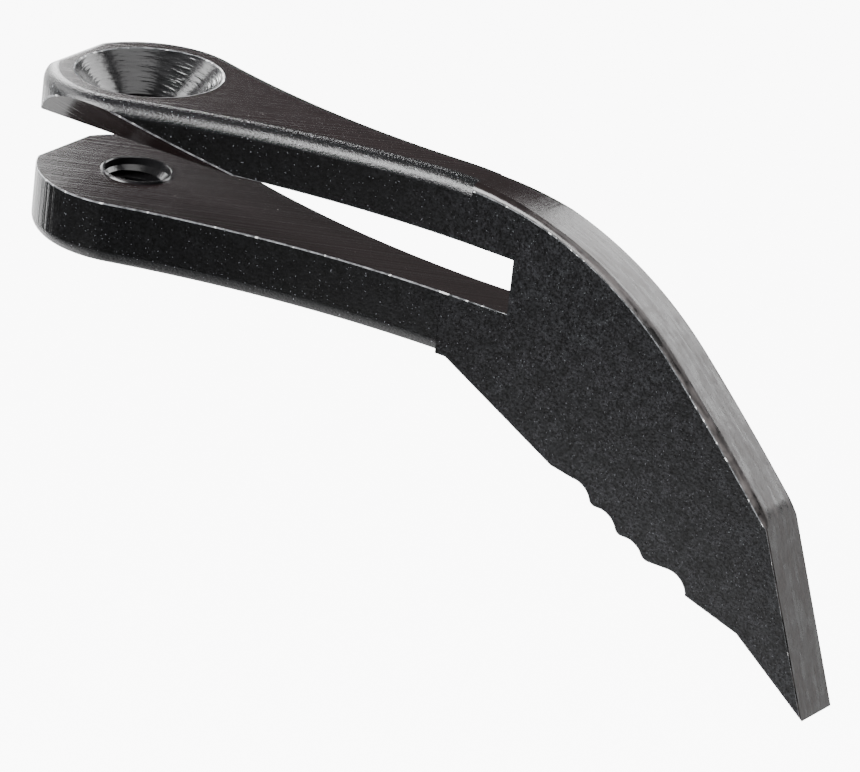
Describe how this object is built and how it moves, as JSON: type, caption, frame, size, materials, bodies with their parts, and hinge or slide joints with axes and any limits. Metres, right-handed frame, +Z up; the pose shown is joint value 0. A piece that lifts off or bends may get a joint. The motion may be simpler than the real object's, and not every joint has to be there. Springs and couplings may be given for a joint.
{
  "type": "forked finger lever",
  "caption": "One-piece black anodised forked lever: two ears for a countersunk pivot screw, and a curved plate with a notched inner edge and a chisel tip.",
  "frame": {"origin": "on the screw's axis, in the plane of the lower ear's slot face", "axes": "+X along the fork towards the claw, +Y across the plate, +Z up the screw's axis towards the countersink"},
  "size_m": [0.0562, 0.0122, 0.0252],
  "materials": {
    "black_anodised_aluminium": "black anodised, fine satin milling marks on the flat and turned faces, slightly grained sides"
  },
  "bodies": {
    "root": {"forked_lever": "black_anodised_aluminium"}
  },
  "joints": []
}
